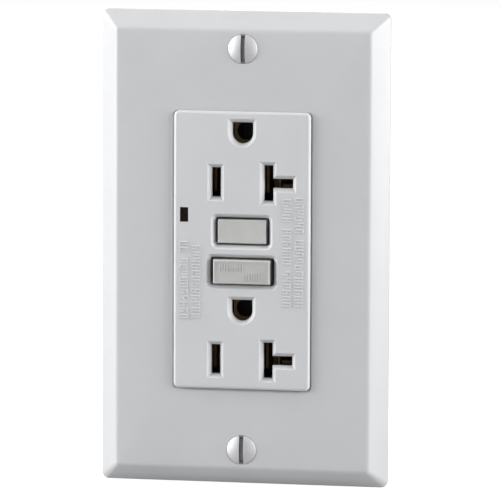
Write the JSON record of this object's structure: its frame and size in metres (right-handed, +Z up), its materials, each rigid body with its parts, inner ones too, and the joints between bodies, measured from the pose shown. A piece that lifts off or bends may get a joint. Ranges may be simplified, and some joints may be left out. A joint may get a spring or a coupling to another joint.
{
  "type": "gfci receptacle",
  "caption": "Ground-fault duplex receptacle with T-slot outlets, test and reset buttons, indicator window and a bevelled wall plate.",
  "frame": {"origin": "middle of the wall plate's back rim, on the surface of the wall", "axes": "+X right as seen from the room, +Y into the wall, +Z up; the ground holes are above the blade slots"},
  "size_m": [0.0698, 0.0341, 0.1142],
  "materials": {
    "plate_plastic": "satin moulded",
    "face_plastic": "satin moulded",
    "button_plastic": "fine texture",
    "tinted_lens": "smoked clear",
    "lamp_epoxy": "tinted clear",
    "screw_plating": "nickel plated",
    "zinc_steel": "zinc plated",
    "spring_steel": "bright wire",
    "brass_strip": "stamped",
    "brass_screw": "plated",
    "copper_bar": "bare copper",
    "contact_spring": "phosphor bronze",
    "contact_silver": "silver",
    "green_screw": "green plated",
    "washer_board": "fibre",
    "housing_plastic": "moulded",
    "inner_plastic": "moulded",
    "coil_wire": "enamelled copper wire",
    "core_ferrite": "sintered",
    "board_laminate": "solder mask",
    "black_epoxy": "moulded epoxy",
    "varistor_coat": "dipped epoxy",
    "film_box": "moulded box",
    "capacitor_sleeve": "shrunk sleeve",
    "resistor_coat": "lacquer"
  },
  "bodies": {
    "receptacle": {"assembly_screws": "zinc_steel", "box_mounting_screws": "zinc_steel", "central_body": "inner_plastic", "circuit_board": "board_laminate", "control_chip": "black_epoxy", "film_capacitor": "film_box", "filter_capacitor": "capacitor_sleeve", "front_cover": "face_plastic", "ground_contact_lower": "brass_strip", "ground_contact_rivets": "zinc_steel", "ground_contact_upper": "brass_strip", "grounding_core": "core_ferrite", "grounding_winding": "coil_wire", "hot_fixed_contact": "contact_silver", "hot_line_conductor": "copper_bar", "hot_line_terminal": "brass_strip", "hot_load_bus": "brass_strip", "led_lamp": "lamp_epoxy", "led_lens": "tinted_lens", "mounting_strap": "zinc_steel", "neutral_fixed_contact": "contact_silver", "neutral_line_conductor": "copper_bar", "neutral_line_terminal": "brass_strip", "neutral_load_bus": "brass_strip", "plate_screws": "screw_plating", "plunger_spring": "spring_steel", "rear_housing": "housing_plastic", "rectifier_diodes": "black_epoxy", "reset_spring": "spring_steel", "resistors": "resistor_coat", "screw_retainers": "washer_board", "sensing_core": "core_ferrite", "sensing_winding": "coil_wire", "solenoid_bobbin": "inner_plastic", "solenoid_coil": "coil_wire", "solenoid_frame": "zinc_steel", "test_contact_post": "brass_strip", "thyristor": "black_epoxy", "varistor": "varistor_coat", "wall_plate": "plate_plastic"},
    "test_button": {"test_button": "button_plastic"},
    "test_contact_spring": {"test_contact_spring": "contact_spring"},
    "reset_button": {"reset_button": "button_plastic", "reset_lock_pin": "zinc_steel"},
    "solenoid_plunger": {"solenoid_plunger": "zinc_steel"},
    "contact_lifter": {"contact_lifter": "inner_plastic"},
    "latch_plate": {"latch_plate": "zinc_steel"},
    "hot_arm": {"hot_moving_arm": "contact_spring", "hot_moving_contact": "contact_silver"},
    "neutral_arm": {"neutral_moving_arm": "contact_spring", "neutral_moving_contact": "contact_silver"},
    "ground_screw": {"ground_screw": "green_screw"},
    "hot_load_clamp": {"hot_load_clamp": "zinc_steel"},
    "hot_load_screw": {"hot_load_screw": "brass_screw"},
    "hot_line_clamp": {"hot_line_clamp": "zinc_steel"},
    "hot_line_screw": {"hot_line_screw": "brass_screw"},
    "neutral_load_clamp": {"neutral_load_clamp": "zinc_steel"},
    "neutral_load_screw": {"neutral_load_screw": "screw_plating"},
    "neutral_line_clamp": {"neutral_line_clamp": "zinc_steel"},
    "neutral_line_screw": {"neutral_line_screw": "screw_plating"}
  },
  "joints": [
    {"name": "test_press", "type": "slide", "parent": "receptacle", "child": "test_button", "axis": [0, 1, 0], "range_m": [0, 0.0012], "stiffness_N_per_m": 600},
    {"name": "test_contact_bend", "type": "hinge", "parent": "receptacle", "child": "test_contact_spring", "pos_m": [0, 0.0016, 0.0086], "axis": [1, 0, 0], "range_deg": [0, 18]},
    {"name": "reset_press", "type": "slide", "parent": "receptacle", "child": "reset_button", "axis": [0, 1, 0], "range_m": [0, 0.002], "stiffness_N_per_m": 900, "deforming": ["reset_spring"]},
    {"name": "plunger_stroke", "type": "slide", "parent": "receptacle", "child": "solenoid_plunger", "axis": [0, 0, -1], "range_m": [0, 0.0014], "stiffness_N_per_m": 400, "deforming": ["plunger_spring"]},
    {"name": "lifter_drop", "type": "slide", "parent": "receptacle", "child": "contact_lifter", "axis": [0, 1, 0], "range_m": [0, 0.0015]},
    {"name": "latch_slide", "type": "slide", "parent": "contact_lifter", "child": "latch_plate", "axis": [0, 0, -1], "range_m": [0, 0.0014]},
    {"name": "hot_arm_swing", "type": "hinge", "parent": "receptacle", "child": "hot_arm", "pos_m": [-0.0018, 0.0128, -0.02], "axis": [-1, 0, 0], "range_deg": [0, 5.7]},
    {"name": "neutral_arm_swing", "type": "hinge", "parent": "receptacle", "child": "neutral_arm", "pos_m": [0.0018, 0.0128, -0.02], "axis": [-1, 0, 0], "range_deg": [0, 5.7]},
    {"name": "ground_screw_turn", "type": "hinge", "parent": "receptacle", "child": "ground_screw", "pos_m": [-0.0105, 0.0052, -0.0389], "axis": [-1, 0, 0], "continuous": true},
    {"name": "hot_load_clamp_travel", "type": "slide", "parent": "receptacle", "child": "hot_load_clamp", "axis": [-1, 0, 0], "range_m": [0, 0.00198]},
    {"name": "hot_load_screw_turn", "type": "hinge", "parent": "hot_load_clamp", "child": "hot_load_screw", "pos_m": [-0.0176, 0.0168, 0.02], "axis": [-1, 0, 0], "range_deg": [0, 900]},
    {"name": "hot_line_clamp_travel", "type": "slide", "parent": "receptacle", "child": "hot_line_clamp", "axis": [-1, 0, 0], "range_m": [0, 0.00198]},
    {"name": "hot_line_screw_turn", "type": "hinge", "parent": "hot_line_clamp", "child": "hot_line_screw", "pos_m": [-0.0176, 0.0168, -0.02], "axis": [-1, 0, 0], "range_deg": [0, 900]},
    {"name": "neutral_load_clamp_travel", "type": "slide", "parent": "receptacle", "child": "neutral_load_clamp", "axis": [1, 0, 0], "range_m": [0, 0.00198]},
    {"name": "neutral_load_screw_turn", "type": "hinge", "parent": "neutral_load_clamp", "child": "neutral_load_screw", "pos_m": [0.0176, 0.0168, 0.02], "axis": [1, 0, 0], "range_deg": [0, 900]},
    {"name": "neutral_line_clamp_travel", "type": "slide", "parent": "receptacle", "child": "neutral_line_clamp", "axis": [1, 0, 0], "range_m": [0, 0.00198]},
    {"name": "neutral_line_screw_turn", "type": "hinge", "parent": "neutral_line_clamp", "child": "neutral_line_screw", "pos_m": [0.0176, 0.0168, -0.02], "axis": [1, 0, 0], "range_deg": [0, 900]}
  ],
  "couplings": [
    {"joint": "test_contact_bend", "follows": "test_press", "rad_per_m": 250},
    {"joint": "lifter_drop", "follows": "plunger_stroke", "ratio": 1.0714},
    {"joint": "latch_slide", "follows": "plunger_stroke", "ratio": 1},
    {"joint": "hot_arm_swing", "follows": "plunger_stroke", "rad_per_m": 70},
    {"joint": "neutral_arm_swing", "follows": "plunger_stroke", "rad_per_m": 70},
    {"joint": "hot_load_screw_turn", "follows": "hot_load_clamp_travel", "rad_per_m": 7913.3},
    {"joint": "hot_line_screw_turn", "follows": "hot_line_clamp_travel", "rad_per_m": 7913.3},
    {"joint": "neutral_load_screw_turn", "follows": "neutral_load_clamp_travel", "rad_per_m": 7913.3},
    {"joint": "neutral_line_screw_turn", "follows": "neutral_line_clamp_travel", "rad_per_m": 7913.3}
  ]
}
